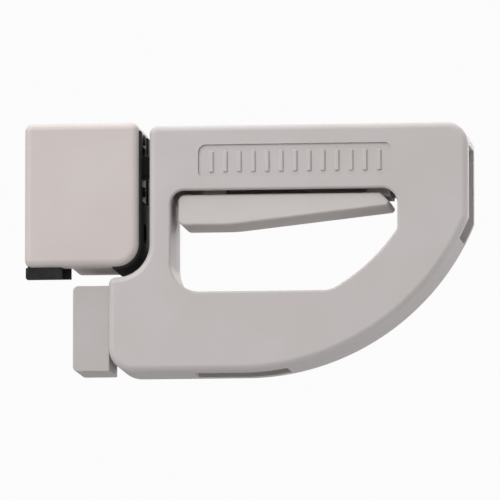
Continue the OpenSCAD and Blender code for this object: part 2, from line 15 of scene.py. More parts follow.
import bmesh
import bpy
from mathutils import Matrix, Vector


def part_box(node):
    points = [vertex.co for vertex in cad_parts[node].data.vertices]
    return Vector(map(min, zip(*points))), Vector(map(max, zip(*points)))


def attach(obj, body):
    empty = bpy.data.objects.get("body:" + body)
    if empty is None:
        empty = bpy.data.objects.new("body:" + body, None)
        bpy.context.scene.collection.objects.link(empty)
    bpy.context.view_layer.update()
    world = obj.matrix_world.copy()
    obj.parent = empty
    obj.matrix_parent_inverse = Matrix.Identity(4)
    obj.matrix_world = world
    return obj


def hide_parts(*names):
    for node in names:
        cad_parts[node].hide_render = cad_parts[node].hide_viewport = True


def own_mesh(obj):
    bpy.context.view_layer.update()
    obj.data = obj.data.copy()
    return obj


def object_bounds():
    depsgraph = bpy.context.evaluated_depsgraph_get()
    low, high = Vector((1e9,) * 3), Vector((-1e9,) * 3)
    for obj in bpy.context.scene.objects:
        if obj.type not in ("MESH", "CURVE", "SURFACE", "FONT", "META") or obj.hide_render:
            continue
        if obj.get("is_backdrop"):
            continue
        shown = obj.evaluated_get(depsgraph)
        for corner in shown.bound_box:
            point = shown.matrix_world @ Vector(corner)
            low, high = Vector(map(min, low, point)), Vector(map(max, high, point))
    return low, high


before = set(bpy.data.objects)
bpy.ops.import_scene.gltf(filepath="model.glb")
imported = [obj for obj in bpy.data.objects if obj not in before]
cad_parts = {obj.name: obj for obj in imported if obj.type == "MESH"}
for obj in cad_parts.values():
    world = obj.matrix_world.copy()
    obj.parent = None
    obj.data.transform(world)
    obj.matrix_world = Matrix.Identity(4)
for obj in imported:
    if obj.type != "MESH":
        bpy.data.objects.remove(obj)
log = logging.getLogger("stair_gate_latch")

MM = 0.001
NEAR = 0.02 * MM          # two places closer than this are the same
PAST = 1.0 * MM           # how far a cutter or a joined piece reaches past a face
ARC_STEP = math.radians(6)
SHARP = math.radians(50)  # edges that turn by more than this are sharp
BORE_R = 3.3 * MM         # counterbore of a screw that goes in from the back
BORE_DEPTH = 2.8 * MM

Point = tuple[float, float]
Triple = tuple[float, float, float]
Piece = bpy.types.Object
Socket = bpy.types.NodeSocket
EdgeRule = Callable[[bmesh.types.BMEdge], bool]


class Axis(Enum):
    """A direction of the frame, as a vector."""

    X = (1.0, 0.0, 0.0)
    Y = (0.0, 1.0, 0.0)
    Z = (0.0, 0.0, 1.0)


class Cut(Enum):
    """What a tool does to the work it meets."""

    REMOVE = "DIFFERENCE"
    JOIN = "UNION"
    KEEP = "INTERSECT"


# ---------------------------------------------------------------- outlines


@dataclass(frozen=True)
class Corner:
    """A corner of an outline in X and Z, with the radius that rounds it."""

    x: float
    z: float
    r: float = 0.0


@dataclass(frozen=True)
class Sweep:
    """An arc of an outline about a centre, up to an end point, taken the short way round."""

    cx: float
    cz: float
    x: float
    z: float


Outline = Sequence[Corner | Sweep]


@dataclass(frozen=True)
class Step:
    """One stroke of the pen: straight to a place, or round a centre by an angle."""

    to: Point
    centre: Point | None = None
    angle: float = 0.0


def turn(centre: Point, start: Point, end: Point) -> float:
    """Angle that carries one point to another round a centre, the short way.

    Args:
        centre: Centre of the turn, in X and Z.
        start: Point before the turn.
        end: Point after the turn.

    Returns:
        The signed angle in radians, from X towards Z, which is how the spin operator counts about +Y.
    """
    first = math.atan2(start[1] - centre[1], start[0] - centre[0])
    last = math.atan2(end[1] - centre[1], end[0] - centre[0])
    return (last - first + math.pi) % (2 * math.pi) - math.pi


def strokes(path: Outline) -> tuple[Point, list[Step]]:
    """Works out the pen's strokes along a closed outline.

    Args:
        path: Corners in order; a Sweep stands between the corner it starts from and its end point.

    Returns:
        The starting point and the strokes, the last of which ends at the start.
    """
    joints: list[tuple[Point, Point, Point | None]] = []
    count = len(path)
    for index, item in enumerate(path):
        if isinstance(item, Sweep):
            joints.append(((item.x, item.z), (item.x, item.z), (item.cx, item.cz)))
            continue
        before, after = path[index - 1], path[(index + 1) % count]
        here = Vector((item.x, item.z))
        if item.r <= 0 or isinstance(after, Sweep):
            joints.append(((item.x, item.z), (item.x, item.z), None))
            continue
        back = (Vector((before.x, before.z)) - here).normalized()
        ahead = (Vector((after.x, after.z)) - here).normalized()
        half_angle = back.angle(ahead) / 2
        reach = item.r / math.tan(half_angle)
        centre = here + (back + ahead).normalized() * (item.r / math.sin(half_angle))
        first, last = here + back * reach, here + ahead * reach
        joints.append((tuple(first), tuple(last), tuple(centre)))
    steps: list[Step] = []
    place = joints[0][1]
    for index in list(range(1, count)) + [0]:
        entry, leave, centre = joints[index]
        if isinstance(path[index], Sweep):
            steps.append(Step(leave, centre, turn(centre, place, leave)))
        else:
            if math.dist(place, entry) > NEAR:
                steps.append(Step(entry))
            if centre is not None:
                steps.append(Step(leave, centre, turn(centre, entry, leave)))
        place = leave
    return joints[0][1], steps


def rectangle(low: Point, high: Point, radii: Sequence[float]) -> list[Corner]:
    """Corners of a rectangle: lower left, lower right, upper right, upper left.

    Args:
        low: Least X and Z.
        high: Greatest X and Z.
        radii: Radius of each corner, in the same order.

    Returns:
        The four corners.
    """
    places = [(low[0], low[1]), (high[0], low[1]), (high[0], high[1]), (low[0], high[1])]
    return [Corner(x, z, r) for (x, z), r in zip(places, radii)]


def middle(node: str) -> Triple:
    """Middle of a CAD node's box."""
    low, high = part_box(node)
    return tuple((a + b) / 2 for a, b in zip(low, high))


# ---------------------------------------------------------------- the bench


class Bench:
    """Modelling moves made with Blender's own operators, one object at a time."""

    @staticmethod
    def only(*pieces: Piece) -> None:
        """Selects these objects and nothing else, and makes the first one active."""
        bpy.ops.object.select_all(action="DESELECT")
        for piece in pieces:
            piece.select_set(True)
        bpy.context.view_layer.objects.active = pieces[0]

    @staticmethod
    def clear() -> None:
        """Deselects everything before a primitive is added."""
        if bpy.context.view_layer.objects.active is not None:
            bpy.context.view_layer.objects.active = None
        bpy.ops.object.select_all(action="DESELECT")

    @staticmethod
    def named(name: str) -> Piece:
        """Names the object that was just added, sets its place into its mesh and returns it."""
        piece = bpy.context.active_object
        piece.name = piece.data.name = name
        bpy.ops.object.transform_apply(location=True, rotation=True, scale=True)
        return piece

    @classmethod
    @contextmanager
    def editing(cls, work: Piece) -> Iterator[None]:
        """Opens one object for editing with all of it selected, and closes it afterwards."""
        cls.only(work)
        bpy.ops.object.mode_set(mode="EDIT")
        bpy.ops.mesh.select_mode(type="VERT")
        bpy.ops.mesh.select_all(action="SELECT")
        yield
        bpy.ops.object.mode_set(mode="OBJECT")

    @staticmethod
    def pick(work: Piece, kind: str, wanted: Callable[[object], bool]) -> int:
        """Selects just the faces or edges that a rule picks.

        Args:
            work: The object, open for editing.
            kind: FACE or EDGE.
            wanted: Says of one of them whether it is picked.

        Returns:
            How many were picked.
        """
        bpy.ops.mesh.select_mode(type=kind)
        bpy.ops.mesh.select_all(action="DESELECT")
        mesh = bmesh.from_edit_mesh(work.data)
        chosen = [item for item in (mesh.faces if kind == "FACE" else mesh.edges) if wanted(item)]
        for item in chosen:
            item.select_set(True)
        bmesh.update_edit_mesh(work.data)
        return len(chosen)

    @classmethod
    def prism(cls, name: str, path: Outline, front: float, back: float) -> Piece:
        """Draws a closed outline and extrudes it along Y.

        Args:
            name: Name of the new object.
            path: The outline in X and Z.
            front: Y of the outline's plane.
            back: Y of the far plane.

        Returns:
            The prism.
        """
        start, steps = strokes(path)
        cls.clear()
        bpy.ops.mesh.primitive_plane_add(size=1.0)
        piece = bpy.context.active_object
        piece.name = piece.data.name = name
        with cls.editing(piece):
            bpy.ops.mesh.merge(type="CENTER")
            bpy.ops.transform.translate(value=(start[0], front, start[1]))
            place = start
            for step in steps:
                if step.centre is None:
                    move = (step.to[0] - place[0], 0.0, step.to[1] - place[1])
                    bpy.ops.mesh.extrude_region_move(TRANSFORM_OT_translate={"value": move})
                else:
                    bpy.ops.mesh.spin(
                        steps=max(2, round(abs(step.angle) / ARC_STEP * cls.fineness(step, place))),
                        angle=step.angle,
                        center=(step.centre[0], front, step.centre[1]),
                        axis=Axis.Y.value,
                    )
                place = step.to
            bpy.ops.mesh.select_all(action="SELECT")
            bpy.ops.mesh.remove_doubles(threshold=NEAR)
            bpy.ops.mesh.edge_face_add()
            bpy.ops.mesh.extrude_region_move(TRANSFORM_OT_translate={"value": (0.0, back - front, 0.0)})
            bpy.ops.mesh.select_all(action="SELECT")
            bpy.ops.mesh.normals_make_consistent(inside=False)
        return piece

    @classmethod
    def slab(cls, name: str, box: Sequence[Vector], radii: Sequence[float]) -> Piece:
        """Fills a box with a prism whose corners are rounded, from the lower left one round."""
        low, high = box
        return cls.prism(name, rectangle((low.x, low.z), (high.x, high.z), radii), low.y, high.y)

    @staticmethod
    def fineness(step: Step, place: Point) -> float:
        """How many times finer than the usual step an arc is cut, so that a big arc stays smooth."""
        return max(1.0, math.dist(step.centre, place) / (20 * MM))

    @classmethod
    def box(cls, name: str, low: Sequence[float], high: Sequence[float]) -> Piece:
        """Adds a box between two corners, as a start for more work or as a cutter."""
        cls.clear()
        low, high = Vector(low), Vector(high)
        bpy.ops.mesh.primitive_cube_add(size=1.0, location=(low + high) / 2, scale=high - low)
        return cls.named(name)

    @classmethod
    def rod(
        cls, name: str, axis: Axis, centre: Sequence[float], radius: float, length: float, sides: int = 48
    ) -> Piece:
        """Adds a round rod whose middle is at a centre.

        Args:
            name: Name of the rod.
            axis: Direction of its axis.
            centre: Middle of the rod.
            radius: Its radius.
            length: Its length.
            sides: Faces round it.

        Returns:
            The rod.
        """
        cls.clear()
        tilt = {Axis.X: (0, math.pi / 2, 0), Axis.Y: (math.pi / 2, 0, 0), Axis.Z: (0, 0, 0)}[axis]
        bpy.ops.mesh.primitive_cylinder_add(
            vertices=sides, radius=radius, depth=length, location=centre, rotation=tilt
        )
        return cls.named(name)

    @classmethod
    def apply(cls, work: Piece, tool: Piece, how: Cut = Cut.REMOVE) -> None:
        """Cuts, joins or keeps by a tool that is used up."""
        cls.only(work)
        change = work.modifiers.new("tool", "BOOLEAN")
        change.operation = how.value
        change.solver = "EXACT"
        change.object = tool
        bpy.ops.object.modifier_apply(modifier=change.name)
        bpy.data.objects.remove(tool, do_unlink=True)

    @classmethod
    def join(cls, name: str, pieces: Sequence[Piece]) -> Piece:
        """Joins separate pieces into one object."""
        cls.only(*pieces)
        if len(pieces) > 1:
            bpy.ops.object.join()
        joined = bpy.context.active_object
        joined.name = joined.data.name = name
        return joined

    @classmethod
    def bevel(cls, work: Piece, wanted: EdgeRule, width: float, segments: int = 4) -> None:
        """Rounds the edges that a rule picks.

        Args:
            work: The object.
            wanted: Says of an edge whether it is rounded.
            width: Width of the rounding.
            segments: Faces across the rounding.
        """
        with cls.editing(work):
            if cls.pick(work, "EDGE", wanted):
                bpy.ops.mesh.bevel(
                    offset=width, segments=segments, profile=0.5, affect="EDGES", clamp_overlap=True
                )

    @classmethod
    def reface(cls, work: Piece, y: float) -> None:
        """Fills one depth plane afresh between its outlines, so that no face folds back on another.

        Args:
            work: The object.
            y: Y of the plane.
        """
        with cls.editing(work):
            cls.pick(work, "FACE", lambda face: all(abs(v.co.y - y) < NEAR for v in face.verts))
            bpy.ops.mesh.delete(type="FACE")
            cls.pick(work, "EDGE", lambda edge: edge.is_boundary)
            bpy.ops.mesh.fill(use_beauty=True)

    @classmethod
    def finish(cls, work: Piece, angle: float = 34.0) -> Piece:
        """Merges what coincides, shades round stretches smooth and keeps flat faces flat."""
        with cls.editing(work):
            bpy.ops.mesh.remove_doubles(threshold=NEAR / 4)
            bpy.ops.mesh.normals_make_consistent(inside=False)
        bpy.ops.object.shade_smooth_by_angle(angle=math.radians(angle))
        weighted = work.modifiers.new("flat faces lead", "WEIGHTED_NORMAL")
        weighted.keep_sharp = True
        weighted.weight = 80
        bpy.ops.object.modifier_apply(modifier=weighted.name)
        return work


def rim_at(y: float, inside: Callable[[Vector], bool] | None = None) -> EdgeRule:
    """Rule that picks the sharp rim edges in one depth plane.

    Args:
        y: Y of the plane.
        inside: Further test on an edge's middle.

    Returns:
        The rule.
    """

    def rule(edge: bmesh.types.BMEdge) -> bool:
        """Says whether the edge is part of the rim."""
        if any(abs(v.co.y - y) > NEAR for v in edge.verts) or len(edge.link_faces) != 2:
            return False
        if edge.calc_face_angle(0.0) < SHARP:
            return False
        return inside is None or inside((edge.verts[0].co + edge.verts[1].co) / 2)

    return rule


def sharp_edges(edge: bmesh.types.BMEdge) -> bool:
    """Rule that picks every edge of a plain block."""
    return edge.calc_face_angle(0.0) > SHARP


# ---------------------------------------------------------------- finishes


class Nodes:
    """A short way to add linked shader nodes to one material."""

    def __init__(self, name: str) -> None:
        """Starts a material with a principled shader."""
        self.material = bpy.data.materials.new(name)
        self.material.use_nodes = True
        self.tree = self.material.node_tree
        self.shader = next(n for n in self.tree.nodes if n.type == "BSDF_PRINCIPLED")

    def add(self, kind: str, settings: dict | None = None, **inputs: object) -> bpy.types.Node:
        """Adds a node.

        Args:
            kind: Type of the node.
            settings: Its properties.
            **inputs: Values or sockets for its inputs, with spaces written as underscores.

        Returns:
            The node.
        """
        node = self.tree.nodes.new(kind)
        for key, value in (settings or {}).items():
            setattr(node, key, value)
        return self.set(node, **inputs)

    def set(self, node: bpy.types.Node, **inputs: object) -> bpy.types.Node:
        """Feeds a node's inputs, named with underscores for spaces, and returns the node."""
        for key, value in inputs.items():
            self.feed(node.inputs[key.replace("_", " ")], value)
        return node

    def feed(self, socket: Socket, value: object) -> None:
        """Links or sets one input."""
        if isinstance(value, Socket):
            self.tree.links.new(value, socket)
        else:
            socket.default_value = value

    def place(self, scale: Sequence[float] = (1, 1, 1)) -> Socket:
        """Object coordinates, stretched by a scale."""
        where = self.add("ShaderNodeTexCoord")
        mapping = self.add("ShaderNodeMapping", None, Vector=where.outputs["Object"], Scale=tuple(scale))
        return mapping.outputs["Vector"]

    def noise(self, where: Socket, scale: float, detail: float = 2.0) -> Socket:
        """A noise value from 0 to 1."""
        return self.add("ShaderNodeTexNoise", None, Vector=where, Scale=scale, Detail=detail).outputs["Fac"]

    def between(
        self, share: Socket, low: float, high: float, start: float = 0.3, end: float = 0.7
    ) -> Socket:
        """Spreads a value over a range."""
        limits = {"From_Min": start, "From_Max": end, "To_Min": low, "To_Max": high}
        return self.add("ShaderNodeMapRange", None, Value=share, **limits).outputs["Result"]

    def blend(self, share: Socket, first: Triple, second: Triple) -> Socket:
        """Mixes two colours by a value."""
        node = self.add("ShaderNodeMix", {"data_type": "RGBA"})
        self.feed(node.inputs[0], share)
        self.feed(node.inputs[6], (*first, 1.0))
        self.feed(node.inputs[7], (*second, 1.0))
        return node.outputs[2]

    def bump(self, height: Socket, depth: float, strength: float = 1.0) -> None:
        """Raises the surface by a height of so many metres."""
        node = self.add("ShaderNodeBump", None, Height=height, Distance=depth, Strength=strength)
        self.tree.links.new(node.outputs["Normal"], self.shader.inputs["Normal"])


def linear(red: float, green: float, blue: float) -> Triple:
    """Turns display values from 0 to 255 into linear light."""

    def one(value: float) -> float:
        """Turns one channel."""
        share = value / 255
        return share / 12.92 if share <= 0.04045 else ((share + 0.055) / 1.055) ** 2.4

    return one(red), one(green), one(blue)


@dataclass(frozen=True)
class MouldedPlastic:
    """Satin injection-moulded plastic with a fine spark-eroded texture."""

    name: str
    colour: Triple
    roughness: float = 0.46
    grain: float = 0.035 * MM
    drift: float = 0.035

    def make(self) -> bpy.types.Material:
        """Builds the material."""
        nodes = Nodes(self.name)
        where = nodes.place()
        fine = nodes.noise(where, 1500.0, 3.0)
        broad = nodes.noise(where, 38.0, 2.0)
        flow = nodes.noise(nodes.place((18, 60, 60)), 1.6, 3.0)
        light = tuple(min(1.0, c * (1 + self.drift)) for c in self.colour)
        dark = tuple(c * (1 - self.drift) for c in self.colour)
        warm = (dark[0] * 1.01, dark[1] * 0.995, dark[2] * 0.985)
        mixed = nodes.add("ShaderNodeMath", {"operation": "MULTIPLY_ADD"})
        for index, value in enumerate((flow, 0.35, broad)):
            nodes.feed(mixed.inputs[index], value)
        share = nodes.between(mixed.outputs[0], 0.0, 1.0, 0.42, 0.95)
        colour = nodes.blend(share, warm, light)
        rough = nodes.between(fine, self.roughness - 0.05, self.roughness + 0.06)
        nodes.set(nodes.shader, Base_Color=colour, Roughness=rough, IOR=1.48)
        nodes.bump(fine, self.grain)
        return nodes.material


@dataclass(frozen=True)
class Rubber:
    """Matt black rubber with a dusty bloom."""

    name: str
    colour: Triple

    def make(self) -> bpy.types.Material:
        """Builds the material."""
        nodes = Nodes(self.name)
        where = nodes.place()
        fine = nodes.noise(where, 1100.0, 4.0)
        bloom = nodes.noise(where, 90.0, 5.0)
        dusty = tuple(c * 1.9 + 0.004 for c in self.colour)
        colour = nodes.blend(nodes.between(bloom, 0, 1), self.colour, dusty)
        rough = nodes.between(fine, 0.7, 0.9)
        nodes.set(nodes.shader, Base_Color=colour, Roughness=rough, Specular_IOR_Level=0.3)
        nodes.bump(fine, 0.05 * MM)
        return nodes.material


@dataclass(frozen=True)
class Steel:
    """Bare or plated steel, or near-black steel that paints shade, with drawn or ground lines along one axis.
    """

    name: str
    colour: Triple
    lines: Triple = (12, 500, 500)
    roughness: float = 0.32
    metallic: float = 1.0

    def make(self) -> bpy.types.Material:
        """Builds the material."""
        nodes = Nodes(self.name)
        drawn = nodes.noise(nodes.place(self.lines), 1.4, 4.0)
        cloud = nodes.noise(nodes.place(), 160.0, 3.0)
        tarnish = tuple(c * 0.82 for c in self.colour)
        colour = nodes.blend(nodes.between(cloud, 0, 1), tarnish, self.colour)
        rough = nodes.between(drawn, self.roughness - 0.07, self.roughness + 0.1)
        nodes.set(nodes.shader, Base_Color=colour, Roughness=rough, Metallic=self.metallic)
        nodes.bump(drawn, 0.012 * MM)
        return nodes.material


class Finish(Enum):
    """The finishes of the latch's pieces."""

    COVER = MouldedPlastic("cover_plastic", linear(208, 199, 196))
    HANDLE = MouldedPlastic("handle_plastic", linear(197, 192, 191))
    # painted shade: the foot block is the handle's own plastic, made darker to paint the shade of its
    # set-back place
    BLOCK = MouldedPlastic("block_plastic", linear(190, 185, 184))
    TRIGGER = MouldedPlastic("trigger_plastic", linear(208, 202, 201), roughness=0.42)
    GUIDE = MouldedPlastic("guide_nylon", linear(72, 77, 84), roughness=0.5)
    BUSH = MouldedPlastic("bush_acetal", linear(222, 215, 198), roughness=0.34, grain=0.01 * MM)
    # painted shade: the black of the buffer strip and of the pad's fold under the flange stands in for the
    # deep shade in the swing gap and under the flange; the dusty bloom is real dust
    RUBBER = Rubber("black_rubber", linear(30, 30, 32))
    # painted shade: near-black, non-metal steel for the strike plate, its screws and the bolt, so the swing
    # gap beside the catch reads as deep shade
    BLACKED = Steel("shade_black_steel", linear(34, 34, 37), lines=(240, 240, 240), roughness=0.5, metallic=0.0)
    ZINC = Steel("zinc_plated_steel", linear(186, 187, 190), lines=(260, 260, 260), roughness=0.3)
    GROUND = Steel("ground_steel", linear(196, 197, 200))
    WIRE = Steel("spring_wire", linear(150, 150, 154), lines=(300, 300, 300), roughness=0.36)


class Paintbox:
    """Makes each finish once and puts it on pieces."""

    def __init__(self) -> None:
        """Starts with no material made."""
        self.made: dict[Finish, bpy.types.Material] = {}

    def dress(self, piece: Piece, finish: Finish) -> None:
        """Gives a piece one finish all over."""
        if finish not in self.made:
            self.made[finish] = finish.value.make()
        piece.data.materials.clear()
        piece.data.materials.append(self.made[finish])
        for face in piece.data.polygons:
            face.material_index = 0


def duplicate(piece: Piece, name: str, move: Sequence[float]) -> Piece:
    """Copies a finished piece with its own mesh and moves the copy."""
    Bench.only(piece)
    bpy.ops.object.duplicate()
    bpy.ops.transform.translate(value=tuple(move))
    return Bench.named(name)


@dataclass(frozen=True)
class PanScrew:
    """A pan-head screw with a cross recess; its head looks along an axis."""

    shank_r: float
    head_r: float
    head_h: float
    length: float

    def make(self, name: str, axis: Axis, seat: Sequence[float], way: int) -> Piece:
        """Models one screw.

        Args:
            name: Name of the screw.
            axis: Direction of the screw.
            seat: Point under the middle of the head.
            way: 1 if the head looks along the axis, -1 if against it.

        Returns:
            The screw.
        """
        along = Vector(axis.value) * way
        seat = Vector(seat)
        top = seat + along * self.head_h
        screw = Bench.rod(name, axis, seat + along * self.head_h / 2, self.head_r, self.head_h, 40)
        Bench.bevel(
            screw,
            lambda e: sharp_edges(e) and all((v.co - top).dot(along) > -NEAR for v in e.verts),
            self.head_h * 0.62,
            5,
        )
        for turned in (False, True):
            Bench.apply(screw, self.recess(axis, top, turned))
        centre = seat - along * (self.length / 2 - NEAR)
        shank = Bench.rod(name + "_shank", axis, centre, self.shank_r, self.length, 28)
        Bench.apply(screw, shank, Cut.JOIN)
        return Bench.finish(screw)

    def recess(self, axis: Axis, top: Vector, turned: bool) -> Piece:
        """Makes the cutter for one bar of the cross recess."""
        long, short, deep = self.head_r * 0.62, self.head_r * 0.13, self.head_h * 0.55
        half = Vector((deep, deep, deep))
        across = [i for i in range(3) if not axis.value[i]]
        half[across[0]], half[across[1]] = (long, short) if turned else (short, long)
        return Bench.box("recess", top - half, top + half)


@dataclass
class Assembly:
    """What every sub-assembly shares: its body, the finishes and a way to hand pieces over."""

    body: str
    paint: Paintbox

    def add(self, piece: Piece, finish: Finish, slot: str, *stands_for: str) -> None:
        """Dresses a finished piece, lets it ride on the body and hides the CAD nodes it stands for.

        Args:
            piece: The piece.
            finish: Its finish.
            slot: Not used.
            *stands_for: CAD nodes that it replaces.
        """
        self.paint.dress(piece, finish)
        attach(piece, self.body)
        if stands_for:
            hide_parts(*stands_for)
        log.info("%s: %d faces on %s", piece.name, len(piece.data.polygons), self.body)

    def keep(self, node: str, finish: Finish) -> None:
        """Gives a carried-over CAD node its finish."""
        self.paint.dress(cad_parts[node], finish)

    def row(self, screw: PanScrew, name: str, axis: Axis, seats: Sequence[Triple], *looks: object) -> None:
        """Sets one screw in each seat; the first one stands for the CAD node of them all.

        Args:
            screw: The kind of screw.
            name: Name of each screw, before its number.
            axis: Where the heads look.
            seats: Points under the middles of the heads.
            *looks: Finish, material slot and CAD node.
        """
        finish, slot, node = looks
        first = screw.make(f"{name}_1", axis, seats[0], 1)
        copies = [
            duplicate(first, f"{name}_{i}", [b - a for a, b in zip(seats[0], seat)])
            for i, seat in enumerate(seats[1:], start=2)
        ]
        self.add(first, finish, slot, node)
        for copy in copies:
            self.add(copy, finish, slot)

    @staticmethod
    def counterbores(work: Piece, back: float, places: Iterable[Point]) -> None:
        """Sinks the seats of the screws that go in from the back."""
        seat = back - BORE_DEPTH
        for x, z in places:
            centre = (x, (seat + back + PAST) / 2, z)
            Bench.apply(work, Bench.rod("counterbore", Axis.Y, centre, BORE_R, back + PAST - seat))


def band(low_x: float, top_z: float, corner: Point, inner: float, outer: float) -> Outline:
    """Outline of a strip that runs down a side and round a corner.

    Args:
        low_x: X where the strip ends under the corner.
        top_z: Z where the strip starts.
        corner: Centre of the round corner.
        inner: Radius of its inner face.
        outer: Radius of its outer face.

    Returns:
        The outline.
    """
    cx, cz = corner
    return [
        Corner(low_x, cz - outer),
        Corner(cx, cz - outer),
        Sweep(cx, cz, cx + outer, cz),
        Corner(cx + outer, top_z),
        Corner(cx + inner, top_z),
        Corner(cx + inner, cz),
        Sweep(cx, cz, cx, cz - inner),
        Corner(low_x, cz - inner),
    ]


@dataclass
class Catch(Assembly):
    """The catch on the rail: cover, body, strike, pad, buffer strip and screws."""

    corner_r: float = 8.7 * MM
    small_r: float = 3.0 * MM
    rail_side_r: float = 2.5 * MM
    rim: float = 2.8 * MM
    seam: float = 0.35 * MM
    groove_depth: float = 1.2 * MM
    pocket_depth: float = 13.5 * MM
    pocket_play: float = 0.5 * MM
    lift: float = 3.0 * MM
    hole_r: float = 2.3 * MM
    head_room_r: float = 4.0 * MM
    access_length: float = 8.0 * MM
    lip_gap: float = 2.0 * MM
    plate_gap: float = 0.15 * MM
    strip_rim: float = 0.25 * MM
    pad_rim: float = 0.22 * MM
    plate_rim: float = 0.3 * MM
    screw: PanScrew = PanScrew(1.5 * MM, 3.0 * MM, 2.2 * MM, 26.0 * MM)
    strike_screw: PanScrew = PanScrew(1.25 * MM, 2.0 * MM, 0.8 * MM, 10.0 * MM)

    def __post_init__(self) -> None:
        """Reads the boxes that place the pieces."""
        self.cover_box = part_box("catch_cover")
        self.body_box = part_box("catch_body")
        self.strip_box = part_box("buffer_strip")
        self.plate_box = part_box("strike_plate")
        self.bolt_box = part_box("bolt")
        high = self.body_box[1]
        self.corner = (high.x - self.corner_r, -high.z + self.corner_r)
        self.proud = self.strip_box[1].x - high.x
        self.half_pocket = (self.bolt_box[1].y - self.bolt_box[0].y) / 2 + self.pocket_play
        self.pocket_low = self.bolt_box[0].z - self.pocket_play
        self.pocket_high = self.bolt_box[1].z + self.lift + self.pocket_play
        self.mount_z = (self.pocket_low + self.pocket_high) / 2

    def groove(self) -> Piece:
        """Cutter for the buffer strip's groove."""
        low, high = self.strip_box
        inner = self.corner_r - self.groove_depth
        path = band(low.x, high.z, self.corner, inner, self.corner_r + PAST)
        return Bench.prism("groove", path, low.y, high.y)

    def plate_seat(self) -> Piece:
        """Cutter for the strike plate's seat."""
        low, high = self.plate_box
        return Bench.box("plate_seat", low, (high.x + PAST, high.y, high.z))

    def pocket(self, near: float, far: float) -> Piece:
        """Cutter for the strike pocket, between two places in X."""
        low = (near, -self.half_pocket, self.pocket_low)
        return Bench.box("pocket", low, (far, self.half_pocket, self.pocket_high))

    def cover(self) -> None:
        """The front cover, with its flange over the rail."""
        low, high = self.cover_box
        radii = (self.small_r, self.corner_r, self.small_r, self.small_r)
        cover = Bench.slab("catch_cover_shell", self.cover_box, radii)
        Bench.bevel(cover, rim_at(low.y), self.rim, 6)
        Bench.bevel(cover, rim_at(high.y), self.seam, 2)
        Bench.apply(cover, self.groove())
        Bench.apply(cover, self.plate_seat())
        self.add(Bench.finish(cover), Finish.COVER, "cover_plastic", "catch_cover")

    def housing(self) -> None:
        """The body behind the cover, with the strike pocket and the screw holes."""
        low, high = self.body_box
        radii = (self.rail_side_r, self.corner_r, self.small_r, self.rail_side_r)
        body = Bench.slab("catch_body_shell", self.body_box, radii)
        Bench.bevel(body, rim_at(high.y), self.rim * 0.9, 5)
        Bench.bevel(body, rim_at(low.y), self.seam, 2)
        Bench.apply(body, self.groove())
        near = high.x - self.pocket_depth
        Bench.apply(body, self.plate_seat())
        Bench.apply(body, self.pocket(near, high.x + PAST))
        for side in (-1, 1):
            place = (high.x / 2, 0.0, side * self.mount_z)
            Bench.apply(body, Bench.rod("hole", Axis.X, place, self.hole_r, high.x + 2 * PAST))
        room = (near + self.pocket_depth / 2 + PAST, 0.0, -self.mount_z)
        length = self.pocket_depth + 2 * PAST
        Bench.apply(body, Bench.rod("head_room", Axis.X, room, self.head_room_r, length))
        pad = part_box("rail_pad")[1]
        rebate_low = (-PAST, low.y - PAST, low.z - PAST)
        Bench.apply(body, Bench.box("pad_rebate", rebate_low, (pad.x, pad.y, high.z + PAST)))
        self.counterbores(body, high.y, self.cover_screw_places())
        self.add(Bench.finish(body), Finish.COVER, "cover_plastic", "catch_body")

    def cover_screw_places(self) -> list[Point]:
        """X and Z of the two screws that hold the cover."""
        low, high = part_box("cover_screws")
        x, z = (low.x + high.x) / 2, high.z - self.screw.head_r
        return [(x, -z), (x, z)]

    def strip(self) -> None:
        """The black rubber strip round the corner that faces the gate; its black is painted shade of the
        swing gap.
        """
        low, high = self.strip_box
        inner, outer = self.corner_r - self.groove_depth, self.corner_r + self.proud
        strip = Bench.prism(
            "buffer_strip_shade_rubber", band(low.x, high.z, self.corner, inner, outer), low.y, high.y
        )
        plate_low, plate_high = self.plate_box
        gap = self.plate_gap
        fork_low = (low.x, plate_low.y - gap, plate_low.z - gap)
        Bench.apply(strip, Bench.box("fork", fork_low, (high.x + PAST, plate_high.y + gap, high.z + PAST)))
        Bench.bevel(strip, sharp_edges, self.strip_rim, 3)
        access = (high.x, 0.0, -self.mount_z)
        Bench.apply(strip, Bench.rod("access", Axis.X, access, self.head_room_r, self.access_length))
        self.add(Bench.finish(strip), Finish.RUBBER, "black_rubber", "buffer_strip")

    def pad(self) -> None:
        """The pad behind the flange, with a black fold under the flange's lower end that paints the flange's
        shadow on the rail.
        """
        low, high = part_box("rail_pad")
        back = self.body_box[0].y
        pad = Bench.box("rail_pad_rubber", (low.x, back, low.z), high)
        # painted shadow: this black fold under the flange stands in for the shadow that the flange casts on
        # the rail
        lip = Bench.box("lip", low, (-self.lip_gap, back + NEAR, -self.body_box[1].z))
        Bench.apply(pad, lip, Cut.JOIN)
        Bench.bevel(pad, sharp_edges, self.pad_rim, 3)
        self.add(Bench.finish(pad), Finish.RUBBER, "black_rubber", "rail_pad")

    def strike(self) -> None:
        """The strike plate and its two screws, near black as painted shade of the swing gap."""
        low, high = self.plate_box
        plate = Bench.box("strike_plate_steel", low, high)
        Bench.apply(plate, self.pocket(low.x - PAST, high.x + PAST))
        Bench.bevel(plate, sharp_edges, self.plate_rim, 3)
        # painted shade: the plate's near black stands in for the deep shade of the swing gap
        self.add(Bench.finish(plate), Finish.BLACKED, "black_steel", "strike_plate")
        screw_low, screw_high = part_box("strike_screws")
        screw = self.strike_screw
        seats = [(high.x, 0.0, z) for z in (screw_low.z + screw.head_r, screw_high.z - screw.head_r)]
        self.row(screw, "strike_screw", Axis.X, seats, Finish.BLACKED, "black_steel", "strike_screws")

    def screws(self) -> None:
        """The two screws that hold the cover, from the back."""
        seat = self.body_box[1].y - BORE_DEPTH
        seats = [(x, seat, z) for x, z in self.cover_screw_places()]
        self.row(self.screw, "cover_screw", Axis.Y, seats, Finish.ZINC, "zinc_steel", "cover_screws")

    def build(self) -> None:
        """Builds the whole catch."""
        self.cover()
        self.housing()
        self.strip()
        self.pad()
        self.strike()
        self.screws()


